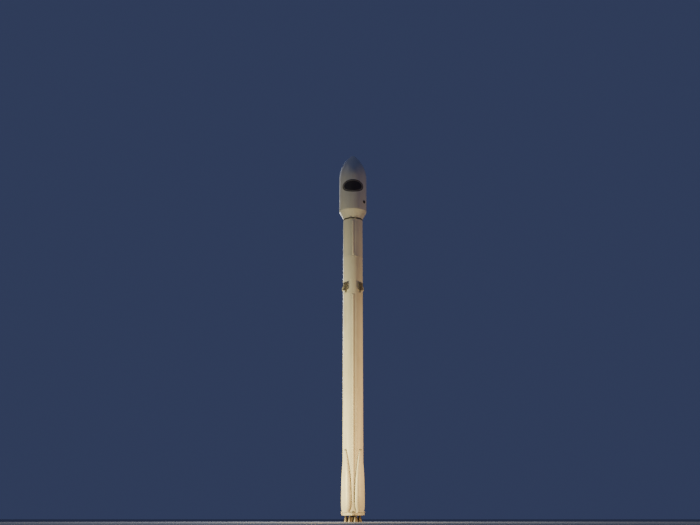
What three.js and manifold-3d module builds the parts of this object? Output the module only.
// A two-stage orbital launch rocket with a payload fairing, stowed grid fins and folded landing legs, at half size.
// Frame: millimetres, +Z up along the rocket's axis, the photographed side at -Y.
// The origin is on the axis, in the plane of the four hold-down feet that the launch mount grips.

import * as THREE from "three";
import { mergeVertices } from "three/addons/utils/BufferGeometryUtils.js";
import Module from "manifold-3d";

const wasm = await Module();
wasm.setup();

// Scale of this model, and the full-size rocket's driving dimensions in millimetres times that scale
const SCALE = 0.5;
const BODY_RADIUS = 1830 * SCALE;
const FAIRING_RADIUS = 2600 * SCALE;
const NOZZLE_EXIT_Z = -1200 * SCALE;
const ENGINE_SECTION_TOP = 1800 * SCALE;
const FUEL_TANK_TOP = 15800 * SCALE;
const STAGE_ONE_TOP = 39600 * SCALE;
const INTERSTAGE_TOP = 46600 * SCALE;
const STAGE_TWO_TOP = 54100 * SCALE;
const NOSE_TIP = 67200 * SCALE;

// Gaps: at a seat, between moving shells, and how far a hidden joint sinks into what it grows from
const SEAT_GAP = 0.3;
const SHELL_GAP = 5;
const ROOTED = 10;

// Sides of the large round bodies, turned so that a flat facet faces each of X and Y
const ROUND_SIDES = 64;
const FAIRING_SIDES = 48;
const BODY_FLAT = BODY_RADIUS * Math.cos(Math.PI / ROUND_SIDES);
const ENGINE_SIDES = 18;
const WALL = 22;

// Materials, named for the finish they stand for
const finish = (color, roughness, metalness) =>
  new THREE.MeshStandardMaterial({ color, roughness, metalness });
const WHITE_PAINT = finish(0xe9e5da, 0.45, 0.05);
const GREY_PAINT = finish(0xd6d3ca, 0.5, 0.05);
const FAIRING_PAINT = finish(0xe4e1d8, 0.4, 0.02);
const LEG_PAINT = finish(0xe2dfd6, 0.5, 0.05);
const FIN_METAL = finish(0x55534f, 0.55, 0.6);
const NOZZLE_METAL = finish(0x5a4c42, 0.4, 0.85);
const VACUUM_NOZZLE_METAL = finish(0x4c4640, 0.45, 0.85);
const FORGED_METAL = finish(0x8d8f92, 0.45, 0.8);
const HEAT_SHIELD_CORK = finish(0xb9b4aa, 0.85, 0.0);
const DARK_COVER = finish(0x3a3a3c, 0.6, 0.2);

// A closed geometry as a solid for cutting and joining. A lathe or loft may wind either way, so it is turned to face out.
function solid(geometry) {
  const bare = geometry.index ? geometry.toNonIndexed() : geometry.clone();
  bare.deleteAttribute("normal");
  bare.deleteAttribute("uv");
  const merged = mergeVertices(bare, 1e-3);
  const vertProperties = merged.attributes.position.array;
  const triVerts = new Uint32Array(merged.index.array);
  const made = new wasm.Manifold(new wasm.Mesh({ numProp: 3, vertProperties, triVerts }));
  if (made.volume() > 0) return made;
  const turned = triVerts.slice();
  for (let i = 0; i < turned.length; i += 3) {
    turned[i + 1] = triVerts[i + 2];
    turned[i + 2] = triVerts[i + 1];
  }
  return new wasm.Manifold(new wasm.Mesh({ numProp: 3, vertProperties, triVerts: turned }));
}

function geometryOf(made) {
  const mesh = made.getMesh();
  const geometry = new THREE.BufferGeometry();
  geometry.setAttribute("position", new THREE.BufferAttribute(mesh.vertProperties, mesh.numProp));
  geometry.setIndex(new THREE.BufferAttribute(mesh.triVerts, 1));
  geometry.computeVertexNormals();
  return geometry;
}

const joined = (solids) => solids.reduce((all, next) => all.add(next));

function piece(name, made, material) {
  const mesh = new THREE.Mesh(geometryOf(made), material);
  mesh.name = name;
  return mesh;
}

// A profile of [radius, height] pairs turned about Z, with a flat facet facing -Y
function turned(profile, sides) {
  const points = profile.map(([radius, height]) => new THREE.Vector2(radius, height));
  const geometry = new THREE.LatheGeometry(points, sides, Math.PI / sides);
  return solid(geometry.rotateX(Math.PI / 2));
}

// A box between two corners
function block(low, high) {
  const size = high.map((value, axis) => value - low[axis]);
  const middle = high.map((value, axis) => (value + low[axis]) / 2);
  return solid(new THREE.BoxGeometry(...size).translate(...middle));
}

// A round bar along X between two ends, at the given Y and Z
function barAlongX(radius, from, to, y, z, sides) {
  const geometry = new THREE.CylinderGeometry(radius, radius, to - from, sides);
  return solid(geometry.rotateZ(Math.PI / 2).translate((from + to) / 2, y, z));
}

function barAlongY(radius, from, to, x, z, sides) {
  const geometry = new THREE.CylinderGeometry(radius, radius, to - from, sides);
  return solid(geometry.translate(x, (from + to) / 2, z));
}

// An outline in X and Y raised from one height to another
function raised(outline, from, to) {
  const shape = new THREE.Shape(outline.map(([x, y]) => new THREE.Vector2(x, y)));
  const geometry = new THREE.ExtrudeGeometry(shape, { depth: to - from, bevelEnabled: false });
  return solid(geometry.translate(0, 0, from));
}

// An outline in Y and Z stretched along X
function stretchedAlongX(outline, from, to) {
  const shape = new THREE.Shape(outline.map(([y, z]) => new THREE.Vector2(y, z)));
  const geometry = new THREE.ExtrudeGeometry(shape, { depth: to - from, bevelEnabled: false });
  geometry.applyMatrix4(new THREE.Matrix4().set(0, 0, 1, from, 1, 0, 0, 0, 0, 1, 0, 0, 0, 0, 0, 1));
  return solid(geometry);
}

// Sections with the same number of corners joined one to the next, with a flat cap at each end
function lofted(sections) {
  const corners = sections[0].length;
  const positions = sections.flat(2);
  const index = [];
  for (let s = 0; s + 1 < sections.length; s += 1) {
    for (let c = 0; c < corners; c += 1) {
      const next = (c + 1) % corners;
      const [a, b] = [s * corners + c, s * corners + next];
      index.push(a, b, b + corners, a, b + corners, a + corners);
    }
  }
  const last = (sections.length - 1) * corners;
  for (let c = 1; c + 1 < corners; c += 1) {
    index.push(0, c + 1, c, last, last + c, last + c + 1);
  }
  const geometry = new THREE.BufferGeometry();
  geometry.setAttribute("position", new THREE.Float32BufferAttribute(positions, 3));
  geometry.setIndex(index);
  return solid(geometry);
}

// Everything at -Y is modelled once and turned about Z to each of its places
function group(angleDegrees, ...meshes) {
  const holder = new THREE.Group();
  holder.rotation.z = THREE.MathUtils.degToRad(angleDegrees);
  holder.add(...meshes);
  return holder;
}

const QUARTER_TURNS = [0, 90, 180, 270];
const DIAGONAL_TURNS = [45, 135, 225, 315];
const rocket = new THREE.Group();

// Engines: nine bells, one in the middle and eight in a ring, each hung in a two-axis gimbal
const ENGINE_RING_RADIUS = 1280 * SCALE;
const ENGINE_PIVOT_Z = 1120 * SCALE;
const ENGINE_PLACES = [[0, 0, 0]];
for (let n = 0; n < 8; n += 1) {
  const angle = THREE.MathUtils.degToRad(22.5 + 45 * n);
  ENGINE_PLACES.push([
    ENGINE_RING_RADIUS * Math.sin(angle),
    -ENGINE_RING_RADIUS * Math.cos(angle),
    22.5 + 45 * n,
  ]);
}

// Half gap between a gimbal's ears, the ears' thickness, half width and reach past the pin, and the pin's radius
const GIMBAL = { halfGap: 37.5, ear: 15, halfWidth: 25, reach: 27, pin: 14, pinSides: 10 };
const THRUST_PLATE_Z = ENGINE_PIVOT_Z + 60;
const THRUST_PLATE_THICKNESS = 30;
const ENGINE_HEAD_DROP = 45;

// The pair of fixed ears that hangs from a plate, and the pair that rises from an engine's head
function hangingEars(gimbal, pivotZ, plateZ) {
  return joined([-1, 1].map((side) => {
    const near = side * gimbal.halfGap;
    const far = side * (gimbal.halfGap + gimbal.ear);
    return block(
      [Math.min(near, far), -gimbal.halfWidth, pivotZ - gimbal.reach],
      [Math.max(near, far), gimbal.halfWidth, plateZ + ROOTED],
    );
  }));
}

function risingEars(gimbal, pivotZ, headZ) {
  return joined([-1, 1].map((side) => {
    const near = side * gimbal.halfGap;
    const far = side * (gimbal.halfGap + gimbal.ear);
    return block(
      [-gimbal.halfWidth, Math.min(near, far), headZ - ROOTED],
      [gimbal.halfWidth, Math.max(near, far), pivotZ + gimbal.reach],
    );
  }));
}

function gimbalCross(gimbal, pivotZ) {
  const end = gimbal.halfGap - SEAT_GAP;
  return barAlongX(gimbal.pin, -end, end, 0, pivotZ, gimbal.pinSides)
    .add(barAlongY(gimbal.pin, -end, end, 0, pivotZ, gimbal.pinSides));
}

// A bell's radius from its throat to its exit: steep at first, then easing out
function bellRadius(throat, exit, share) {
  return throat + (exit - throat) * Math.pow(share, 0.62);
}

function bellWall(throat, exit, throatZ, exitZ, steps, offset) {
  const wall = [];
  for (let n = 0; n <= steps; n += 1) {
    const share = Math.pow(n / steps, 1.5);
    wall.push([bellRadius(throat, exit, share) + offset, throatZ + (exitZ - throatZ) * share]);
  }
  return wall;
}

// The domed boot that closes the shield's hole is part of a ball centred on the gimbal, so it keeps its gap as it swings
const SHIELD_BOTTOM = -40;
const SHIELD_THICKNESS = 20;
const SHIELD_HOLE_RADIUS = 128;
const BOOT = { ball: ENGINE_PIVOT_Z - SHIELD_BOTTOM - 12, thickness: 8, edge: 186 };
const ballZ = (ball, radius) => ENGINE_PIVOT_Z - Math.sqrt(ball * ball - radius * radius);

const CHAMBER_RADIUS = 104;
const THROAT = { radius: 57, outer: 68, z: -44 };
const BELL = { exit: 220, wall: 8, steps: 4 };

function engineSolid() {
  const headZ = ENGINE_PIVOT_Z - ENGINE_HEAD_DROP;
  const inner = BOOT.ball - BOOT.thickness;
  const middle = (THROAT.outer + BOOT.edge) / 2;
  const outside = bellWall(THROAT.radius, BELL.exit, THROAT.z, NOZZLE_EXIT_Z, BELL.steps, BELL.wall);
  const inside = bellWall(THROAT.radius, BELL.exit, THROAT.z, NOZZLE_EXIT_Z, BELL.steps, 0).reverse();
  const body = turned([
    [0, headZ],
    [70, headZ],
    [CHAMBER_RADIUS, headZ - 90],
    [CHAMBER_RADIUS, 90],
    [THROAT.outer, ballZ(inner, THROAT.outer)],
    [middle, ballZ(inner, middle)],
    [BOOT.edge, ballZ(inner, BOOT.edge)],
    [BOOT.edge, ballZ(BOOT.ball, BOOT.edge)],
    [middle, ballZ(BOOT.ball, middle)],
    [THROAT.outer, ballZ(BOOT.ball, THROAT.outer)],
    ...outside,
    ...inside,
    [0, THROAT.z + 45],
  ], ENGINE_SIDES);
  const turbopump = block([-70, 80, 150], [70, 172, 430]);
  return joined([body, turbopump, risingEars(GIMBAL, ENGINE_PIVOT_Z, headZ)]);
}

const engine = engineSolid();
const cross = gimbalCross(GIMBAL, ENGINE_PIVOT_Z);
ENGINE_PLACES.forEach(([x, y], n) => {
  for (const mesh of [
    piece(`engine_${n + 1}`, engine, NOZZLE_METAL),
    piece(`gimbal_cross_${n + 1}`, cross, FORGED_METAL),
  ]) {
    mesh.position.set(x, y, 0);
    rocket.add(mesh);
  }
});

// Engine section: the skirt round the engines with the leg hinge lugs, and in it the thrust plate with nine pairs of gimbal ears
const LEG_HINGE = { z: 240, radius: 36, out: 985, halfSpan: 400, lug: 50 };

function legLugs() {
  return joined([-1, 1].map((side) => {
    const near = side * (LEG_HINGE.halfSpan + SEAT_GAP);
    const far = side * (LEG_HINGE.halfSpan + LEG_HINGE.lug);
    return block(
      [Math.min(near, far), -LEG_HINGE.out - 32, LEG_HINGE.z - 50],
      [Math.max(near, far), -760, LEG_HINGE.z + 50],
    );
  }));
}

function engineSectionSolid() {
  const inner = BODY_RADIUS - WALL;
  const top = ENGINE_SECTION_TOP - SEAT_GAP;
  const skirt = turned([
    [inner, SHIELD_BOTTOM],
    [BODY_RADIUS, SHIELD_BOTTOM],
    [BODY_RADIUS, top],
    [inner, top],
    [inner, SHIELD_BOTTOM],
  ], ROUND_SIDES);
  const hollow = turned([[0, -200], [inner, -200], [inner, 600], [0, 600]], ROUND_SIDES);
  const lugs = DIAGONAL_TURNS.map((turn) => legLugs().rotate([0, 0, turn]).subtract(hollow));
  return joined([skirt, ...lugs]);
}

function thrustPlateSolid() {
  const edge = BODY_RADIUS - WALL - SEAT_GAP;
  const top = THRUST_PLATE_Z + THRUST_PLATE_THICKNESS;
  const plate = turned([[0, THRUST_PLATE_Z], [edge, THRUST_PLATE_Z], [edge, top], [0, top]], ROUND_SIDES);
  const ears = hangingEars(GIMBAL, ENGINE_PIVOT_Z, THRUST_PLATE_Z);
  return joined([plate, ...ENGINE_PLACES.map(([x, y]) => ears.translate([x, y, 0]))]);
}

rocket.add(piece("engine_section", engineSectionSolid(), WHITE_PAINT));
rocket.add(piece("thrust_plate", thrustPlateSolid(), FORGED_METAL));

// Base heat shield: a disc with a hole for each bell
function heatShieldSolid() {
  const edge = BODY_RADIUS - WALL - SEAT_GAP;
  const top = SHIELD_BOTTOM + SHIELD_THICKNESS;
  const disc = turned([[0, SHIELD_BOTTOM], [edge, SHIELD_BOTTOM], [edge, top], [0, top]], ROUND_SIDES);
  const hole = turned([
    [0, SHIELD_BOTTOM - 10],
    [SHIELD_HOLE_RADIUS, SHIELD_BOTTOM - 10],
    [SHIELD_HOLE_RADIUS, top + 10],
    [0, top + 10],
  ], 24);
  return disc.subtract(joined(ENGINE_PLACES.map(([x, y]) => hole.translate([x, y, 0]))));
}

rocket.add(piece("base_heat_shield", heatShieldSolid(), HEAT_SHIELD_CORK));

// Hold-down feet: forged brackets whose flat undersides stand on the launch mount
const FOOT = { halfWidth: 110, reach: 105, toe: 120, height: 330, heel: 30 };
QUARTER_TURNS.forEach((turn, n) => {
  const near = -BODY_FLAT - SEAT_GAP;
  const outline = [
    [near, 0],
    [near, FOOT.height],
    [near - FOOT.heel, FOOT.height],
    [near - FOOT.reach, FOOT.toe],
    [near - FOOT.reach, 0],
  ];
  const foot = stretchedAlongX(outline, -FOOT.halfWidth, FOOT.halfWidth);
  rocket.add(group(turn, piece(`hold_down_foot_${n + 1}`, foot, FORGED_METAL)));
});

// First stage tanks: the fuel tank below, and the oxidiser tank above it with its dome inside the interstage
const DOME_RADIUS = BODY_RADIUS - WALL - 6;
const DOME_HEIGHT = 450;
const DOME_STEPS = 4;

function dome(radius, height, baseZ, steps) {
  const profile = [];
  for (let n = 0; n <= steps; n += 1) {
    const angle = (n / steps) * (Math.PI / 2);
    profile.push([radius * Math.cos(angle), baseZ + height * Math.sin(angle)]);
  }
  return profile;
}

const fuelTank = turned([
  [0, ENGINE_SECTION_TOP],
  [BODY_RADIUS, ENGINE_SECTION_TOP],
  [BODY_RADIUS, FUEL_TANK_TOP],
  [0, FUEL_TANK_TOP],
], ROUND_SIDES);
rocket.add(piece("fuel_tank", fuelTank, WHITE_PAINT));

const oxidiserTank = turned([
  [0, FUEL_TANK_TOP + SEAT_GAP],
  [BODY_RADIUS, FUEL_TANK_TOP + SEAT_GAP],
  [BODY_RADIUS, STAGE_ONE_TOP],
  ...dome(DOME_RADIUS, DOME_HEIGHT, STAGE_ONE_TOP, DOME_STEPS),
], ROUND_SIDES);
rocket.add(piece("oxidiser_tank", oxidiserTank, WHITE_PAINT));

// Raceways: the long covers over the cables that run up the outside of the tanks
const RACEWAY = { halfWidth: 85, halfCrown: 55, depth: 52 };

function raceway(from, to) {
  const near = -BODY_FLAT - SEAT_GAP;
  const outline = [
    [-RACEWAY.halfWidth, near],
    [-RACEWAY.halfCrown, near - RACEWAY.depth],
    [RACEWAY.halfCrown, near - RACEWAY.depth],
    [RACEWAY.halfWidth, near],
  ];
  return raised(outline, from, to);
}

const RACEWAY_INSET = 120;
const longRaceway = raceway(ENGINE_SECTION_TOP + RACEWAY_INSET, STAGE_ONE_TOP - RACEWAY_INSET);
rocket.add(piece("raceway_front", longRaceway, WHITE_PAINT));
rocket.add(group(180, piece("raceway_back", longRaceway, WHITE_PAINT)));

// Landing legs: long tapered petals folded against the lower tank, each on its hinge bar.
// Columns: height, half width at the body, and how far the outer face stands off the body
const LEG_SECTIONS = [
  { z: 200, halfWidth: 385, standOff: 155 },
  { z: 310, halfWidth: 395, standOff: 165 },
  { z: 620, halfWidth: 540, standOff: 188 },
  { z: 1900, halfWidth: 530, standOff: 188 },
  { z: 3200, halfWidth: 470, standOff: 176 },
  { z: 4400, halfWidth: 345, standOff: 148 },
  { z: 5150, halfWidth: 215, standOff: 115 },
  { z: 5500, halfWidth: 110, standOff: 85 },
  { z: 5620, halfWidth: 45, standOff: 45 },
];
const LEG_SIDE_STAND_OFF = 34;

// The rounded back of a leg's section. Columns: share of the half width, share of the rise from its edge
const LEG_ARCH = [
  [1, 0],
  [0.86, 0.56],
  [0.64, 0.88],
  [0.3, 1],
];

function legSolid() {
  const sections = LEG_SECTIONS.map(({ z, halfWidth, standOff }) => {
    const root = -BODY_RADIUS * 0.7;
    const bodyAtEdge = Math.sqrt(BODY_RADIUS * BODY_RADIUS - halfWidth * halfWidth);
    const side = -bodyAtEdge - LEG_SIDE_STAND_OFF;
    const rise = side + BODY_RADIUS + standOff;
    const half = LEG_ARCH.map(([across, up]) => [halfWidth * across, side - rise * up]);
    const left = half.map(([x, y]) => [-x, y, z]);
    const right = half.map(([x, y]) => [x, y, z]).reverse();
    return [[-halfWidth, root, z], ...left, ...right, [halfWidth, root, z]];
  });
  const clear = BODY_RADIUS + SEAT_GAP;
  const body = turned([[0, -100], [clear, -100], [clear, 6000], [0, 6000]], ROUND_SIDES)
    .rotate([0, 0, -45]);
  const { radius, halfSpan, out, z } = LEG_HINGE;
  const bar = barAlongX(radius, -halfSpan, halfSpan, -out, z, 12);
  return lofted(sections).add(bar).subtract(body);
}

const leg = legSolid();
DIAGONAL_TURNS.forEach((turn, n) => {
  rocket.add(group(turn, piece(`landing_leg_${n + 1}`, leg, LEG_PAINT)));
});

// Interstage: an open tube that shrouds the upper engine, with a flat pad for each grid fin
const FIN_Z = STAGE_ONE_TOP + 150;
const PAD = { out: 928, halfWidth: 135, below: 125, above: 125 };

function interstageSolid() {
  const inner = BODY_RADIUS - WALL;
  const bottom = STAGE_ONE_TOP + SEAT_GAP;
  const tube = turned([
    [inner, bottom],
    [BODY_RADIUS, bottom],
    [BODY_RADIUS, INTERSTAGE_TOP],
    [inner, INTERSTAGE_TOP],
    [inner, bottom],
  ], ROUND_SIDES);
  const hollow = turned([
    [0, bottom - 500],
    [inner, bottom - 500],
    [inner, bottom + 900],
    [0, bottom + 900],
  ], ROUND_SIDES);
  const pad = block(
    [-PAD.halfWidth, -PAD.out, FIN_Z - PAD.below],
    [PAD.halfWidth, -BODY_RADIUS + WALL, FIN_Z + PAD.above],
  );
  const pads = DIAGONAL_TURNS.map((turn) => pad.rotate([0, 0, turn]).subtract(hollow));
  return joined([tube, ...pads]);
}

rocket.add(piece("interstage", interstageSolid(), GREY_PAINT));

// Grid fins: a root that turns on the pad, and a lattice panel that folds up flat against the interstage
const FIN_ROOT = { flange: 108, thickness: 18, halfGap: 46, ear: 22, pinOut: 985, earReach: 30 };
const FIN = { halfWidth: 300, bottom: 72, top: 830, halfDepth: 30, frame: 22, rib: 9 };
const FIN_CELLS = { across: 5, along: 6 };
const FIN_LUG = { radius: 24, neck: 40 };

function finRootSolid() {
  const near = -PAD.out - SEAT_GAP;
  const flange = barAlongY(FIN_ROOT.flange, near - FIN_ROOT.thickness, near, 0, FIN_Z, 24);
  const ears = [-1, 1].map((side) => {
    const inside = side * FIN_ROOT.halfGap;
    const outside = side * (FIN_ROOT.halfGap + FIN_ROOT.ear);
    return block(
      [Math.min(inside, outside), -FIN_ROOT.pinOut - FIN_ROOT.earReach, FIN_Z - FIN_ROOT.earReach],
      [Math.max(inside, outside), near - FIN_ROOT.thickness / 2, FIN_Z + FIN_ROOT.earReach],
    );
  });
  return joined([flange, ...ears]);
}

// The panel is a frame with square windows, cut through from the outside to the body side
function finSolid() {
  const outline = [
    [-FIN.halfWidth, FIN.bottom + 90],
    [-FIN_ROOT.halfGap, FIN.bottom],
    [FIN_ROOT.halfGap, FIN.bottom],
    [FIN.halfWidth, FIN.bottom + 90],
    [FIN.halfWidth, FIN.top],
    [-FIN.halfWidth, FIN.top],
  ];
  const panel = raised(outline, -FIN.halfDepth, FIN.halfDepth).rotate([90, 0, 0]);
  const left = -FIN.halfWidth + FIN.frame;
  const low = FIN.bottom + 90 + FIN.frame;
  const cellWidth = (2 * FIN.halfWidth - 2 * FIN.frame + FIN.rib) / FIN_CELLS.across;
  const cellHeight = (FIN.top - FIN.frame - low + FIN.rib) / FIN_CELLS.along;
  const windows = [];
  for (let row = 0; row < FIN_CELLS.along; row += 1) {
    for (let column = 0; column < FIN_CELLS.across; column += 1) {
      const x = left + column * cellWidth;
      const z = low + row * cellHeight;
      windows.push(block(
        [x, -FIN.halfDepth - 10, z],
        [x + cellWidth - FIN.rib, FIN.halfDepth + 10, z + cellHeight - FIN.rib],
      ));
    }
  }
  const lattice = panel.subtract(joined(windows)).translate([0, -FIN_ROOT.pinOut, FIN_Z]);
  const end = FIN_ROOT.halfGap - SEAT_GAP;
  const lug = barAlongX(FIN_LUG.radius, -end, end, -FIN_ROOT.pinOut, FIN_Z, 12);
  const neck = block(
    [-FIN_LUG.neck, -FIN_ROOT.pinOut - FIN_LUG.radius / 2, FIN_Z],
    [FIN_LUG.neck, -FIN_ROOT.pinOut + FIN_LUG.radius / 2, FIN_Z + FIN.bottom + ROOTED],
  );
  return joined([lattice, lug, neck]);
}

const finRoot = finRootSolid();
const fin = finSolid();
DIAGONAL_TURNS.forEach((turn, n) => {
  rocket.add(group(
    turn,
    piece(`fin_root_${n + 1}`, finRoot, FORGED_METAL),
    piece(`grid_fin_${n + 1}`, fin, FIN_METAL),
  ));
});

// Cold gas thruster pods on the interstage, between the fins
const POD = { halfWidth: 120, halfCrown: 80, depth: 80, from: STAGE_ONE_TOP + 330, to: STAGE_ONE_TOP + 760 };

function podSolid() {
  const near = -BODY_FLAT - SEAT_GAP;
  const section = (z, share) => [
    [-POD.halfWidth * share, near, z],
    [POD.halfWidth * share, near, z],
    [POD.halfCrown * share, near - POD.depth * share, z],
    [-POD.halfCrown * share, near - POD.depth * share, z],
  ];
  return lofted([
    section(POD.from, 0.55),
    section(POD.from + 90, 1),
    section(POD.to - 90, 1),
    section(POD.to, 0.55),
  ]);
}

const pod = podSolid();
rocket.add(group(90, piece("thruster_pod_1", pod, GREY_PAINT)));
rocket.add(group(270, piece("thruster_pod_2", pod, GREY_PAINT)));

// Umbilical panels on the tower side: flat plates that the ground lines plug into
const PANEL = { halfWidth: 130, thickness: 30 };

function panelSolid(from, to) {
  const near = BODY_FLAT + SEAT_GAP;
  return block([-PANEL.halfWidth, near, from], [PANEL.halfWidth, near + PANEL.thickness, to]);
}

rocket.add(piece("umbilical_panel_lower", panelSolid(430, 780), FORGED_METAL));
rocket.add(piece("umbilical_panel_upper", panelSolid(23500, 23900), FORGED_METAL));

// Second stage: one tank whose lower dome hangs in the interstage, with the fairing's hinge ears round its top
const FAIRING_HINGE = { out: 955, z: STAGE_TWO_TOP + 34, places: [-220, 220], halfLug: 40, ear: 18 };
const UPPER_PIVOT_Z = INTERSTAGE_TOP - DOME_HEIGHT - 95;
const UPPER_GIMBAL = { halfGap: 52, ear: 20, halfWidth: 34, reach: 36, pin: 20, pinSides: 12 };

function fairingEars() {
  const { out, z, places, halfLug, ear } = FAIRING_HINGE;
  const ears = places.flatMap((x) => [-1, 1].map((side) => {
    const near = x + side * (halfLug + SEAT_GAP);
    const far = x + side * (halfLug + ear);
    return block(
      [Math.min(near, far), -out - 24, z - 130],
      [Math.max(near, far), -out + 26, z + 24],
    ).add(block(
      [Math.min(near, far), -out, z - 130],
      [Math.max(near, far), -BODY_RADIUS + 80, z - 60],
    ));
  }));
  return joined(ears);
}

function secondStageSolid() {
  const lowerDome = dome(DOME_RADIUS, -DOME_HEIGHT, INTERSTAGE_TOP + SEAT_GAP, DOME_STEPS);
  const tank = turned([
    ...lowerDome.reverse(),
    [BODY_RADIUS, INTERSTAGE_TOP + SEAT_GAP],
    [BODY_RADIUS, STAGE_TWO_TOP],
    [0, STAGE_TWO_TOP],
  ], ROUND_SIDES);
  const ears = fairingEars();
  const seat = turned([
    [0, INTERSTAGE_TOP - DOME_HEIGHT - 20],
    [150, INTERSTAGE_TOP - DOME_HEIGHT - 20],
    [150, INTERSTAGE_TOP - DOME_HEIGHT + 60],
    [0, INTERSTAGE_TOP - DOME_HEIGHT + 60],
  ], 24);
  const gimbalEars = hangingEars(UPPER_GIMBAL, UPPER_PIVOT_Z, INTERSTAGE_TOP - DOME_HEIGHT - 20);
  return joined([tank, ears, ears.rotate([0, 0, 180]), seat, gimbalEars]);
}

rocket.add(piece("second_stage_tank", secondStageSolid(), GREY_PAINT));
const shortRaceway = raceway(INTERSTAGE_TOP + RACEWAY_INSET, STAGE_TWO_TOP - 2 * RACEWAY_INSET);
rocket.add(piece("raceway_upper", shortRaceway, GREY_PAINT));

// Upper engine: one wide vacuum bell inside the interstage
const UPPER_BELL = { throat: 62, exit: 650, wall: 9, throatZ: UPPER_PIVOT_Z - 560, exitZ: 20720, steps: 6 };
const UPPER_CHAMBER = { radius: 120, headDrop: 62 };

function upperEngineSolid() {
  const { throat, exit, wall, throatZ, exitZ, steps } = UPPER_BELL;
  const headZ = UPPER_PIVOT_Z - UPPER_CHAMBER.headDrop;
  const body = turned([
    [0, headZ],
    [90, headZ],
    [UPPER_CHAMBER.radius, headZ - 90],
    [UPPER_CHAMBER.radius, throatZ + 110],
    ...bellWall(throat, exit, throatZ, exitZ, steps, wall),
    ...bellWall(throat, exit, throatZ, exitZ, steps, 0).reverse(),
    [0, throatZ + 50],
  ], 28);
  const turbopump = block([-85, 90, throatZ + 140], [85, 210, headZ - 110]);
  return joined([body, turbopump, risingEars(UPPER_GIMBAL, UPPER_PIVOT_Z, headZ)]);
}

rocket.add(piece("upper_engine", upperEngineSolid(), VACUUM_NOZZLE_METAL));
rocket.add(piece("upper_gimbal_cross", gimbalCross(UPPER_GIMBAL, UPPER_PIVOT_Z), FORGED_METAL));

// Payload adapter: the cone inside the fairing whose flat top ring carries the payload
const ADAPTER = { foot: 760, ring: 394, ringWidth: 34, wall: 16, height: 520, lip: 30 };
const adapterFoot = STAGE_TWO_TOP + SEAT_GAP;
const adapterTop = STAGE_TWO_TOP + ADAPTER.height;
const adapter = turned([
  [ADAPTER.foot - ADAPTER.wall, adapterFoot],
  [ADAPTER.foot, adapterFoot],
  [ADAPTER.foot, adapterFoot + ADAPTER.lip],
  [ADAPTER.ring, adapterTop - ADAPTER.lip],
  [ADAPTER.ring, adapterTop],
  [ADAPTER.ring - ADAPTER.ringWidth, adapterTop],
  [ADAPTER.ring - ADAPTER.ringWidth, adapterTop - ADAPTER.lip],
  [ADAPTER.foot - 2 * ADAPTER.wall, adapterFoot + ADAPTER.lip],
  [ADAPTER.foot - ADAPTER.wall, adapterFoot],
], 32);
rocket.add(piece("payload_adapter", adapter, FORGED_METAL));

// Payload fairing: a hollow shell in two halves that swing out on hinges at their feet
const FAIRING_FOOT = STAGE_TWO_TOP + SHELL_GAP;
const FAIRING_RING_TOP = STAGE_TWO_TOP + 60;
const BOAT_TAIL_TOP = STAGE_TWO_TOP + 1600 * SCALE;
const NOSE_LENGTH = 4900 * SCALE;
const NOSE_BASE = NOSE_TIP - NOSE_LENGTH;
const NOSE_TIP_RADIUS = 600 * SCALE;
const NOSE_STEPS = 8;
const NOSE_TIP_STEPS = 3;

// An arc that leaves the fairing's barrel without a break and runs into a small round tip. It is drawn
// a depth inside the outer skin, and lists the points from the base to just short of the tip.
function nose(depth) {
  const tipCentre = NOSE_LENGTH - NOSE_TIP_RADIUS;
  const squares = FAIRING_RADIUS ** 2 + tipCentre ** 2 - NOSE_TIP_RADIUS ** 2;
  const arcRadius = squares / (2 * (FAIRING_RADIUS - NOSE_TIP_RADIUS));
  const arcCentre = FAIRING_RADIUS - arcRadius;
  const meeting = Math.atan2(tipCentre, -arcCentre);
  const profile = [];
  for (let n = 0; n <= NOSE_STEPS; n += 1) {
    const angle = (meeting * n) / NOSE_STEPS;
    const reach = arcRadius - depth;
    profile.push([arcCentre + reach * Math.cos(angle), NOSE_BASE + reach * Math.sin(angle)]);
  }
  for (let n = 1; n < NOSE_TIP_STEPS; n += 1) {
    const angle = meeting + ((Math.PI / 2 - meeting) * n) / NOSE_TIP_STEPS;
    const reach = NOSE_TIP_RADIUS - depth;
    profile.push([reach * Math.cos(angle), NOSE_BASE + tipCentre + reach * Math.sin(angle)]);
  }
  return profile;
}

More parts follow.
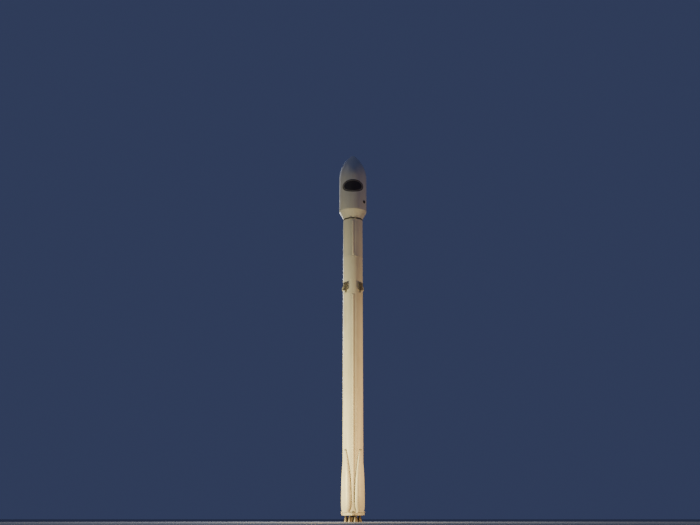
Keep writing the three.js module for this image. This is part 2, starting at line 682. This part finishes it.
function fairingShell() {
  const outside = [
    [BODY_RADIUS, FAIRING_FOOT],
    [BODY_RADIUS, FAIRING_RING_TOP],
    [FAIRING_RADIUS, BOAT_TAIL_TOP],
    ...nose(0),
    [0, NOSE_TIP],
  ];
  const inside = [
    [0, NOSE_TIP - WALL],
    ...nose(WALL).reverse(),
    [FAIRING_RADIUS - WALL, BOAT_TAIL_TOP],
    [BODY_RADIUS - WALL, FAIRING_RING_TOP],
    [BODY_RADIUS - WALL, FAIRING_FOOT],
    [BODY_RADIUS, FAIRING_FOOT],
  ];
  return turned([...outside, ...inside], FAIRING_SIDES);
}

// The hinge knuckles of the half at -Y, reaching in to the fairing's foot ring
function fairingKnuckles() {
  const { out, z, places, halfLug } = FAIRING_HINGE;
  return joined(places.map((x) => {
    const bar = barAlongX(20, x - halfLug, x + halfLug, -out, z, 12);
    const arm = block([x - halfLug, -out, z - 10], [x + halfLug, -BODY_RADIUS + 60, z + 14]);
    return bar.add(arm);
  }));
}

// Air conditioning inlet on the side of the front half
const AIR_INLET = { turn: 55, z: 28650, radius: 130, length: 60 };

function fairingHalf(front) {
  const side = front ? -1 : 1;
  const reach = FAIRING_RADIUS + 100;
  const near = side * (SHELL_GAP / 2);
  const half = block(
    [-reach, Math.min(near, side * reach), FAIRING_FOOT - 100],
    [reach, Math.max(near, side * reach), NOSE_TIP + 100],
  );
  const hollow = turned([
    [0, STAGE_TWO_TOP - 100],
    [BODY_RADIUS - WALL, STAGE_TWO_TOP - 100],
    [BODY_RADIUS - WALL, FAIRING_RING_TOP],
    [0, FAIRING_RING_TOP],
  ], FAIRING_SIDES);
  const knuckles = fairingKnuckles().subtract(hollow);
  const pieces = [fairingShell().intersect(half), front ? knuckles : knuckles.rotate([0, 0, 180])];
  if (front) {
    const { radius, length, z, turn } = AIR_INLET;
    const collar = barAlongY(radius, -FAIRING_RADIUS - length, -FAIRING_RADIUS + WALL / 2, 0, z, 20);
    pieces.push(collar.rotate([0, 0, turn]));
  }
  return joined(pieces);
}

rocket.add(piece("fairing_half_front", fairingHalf(true), FAIRING_PAINT));
rocket.add(piece("fairing_half_back", fairingHalf(false), FAIRING_PAINT));

export default rocket;
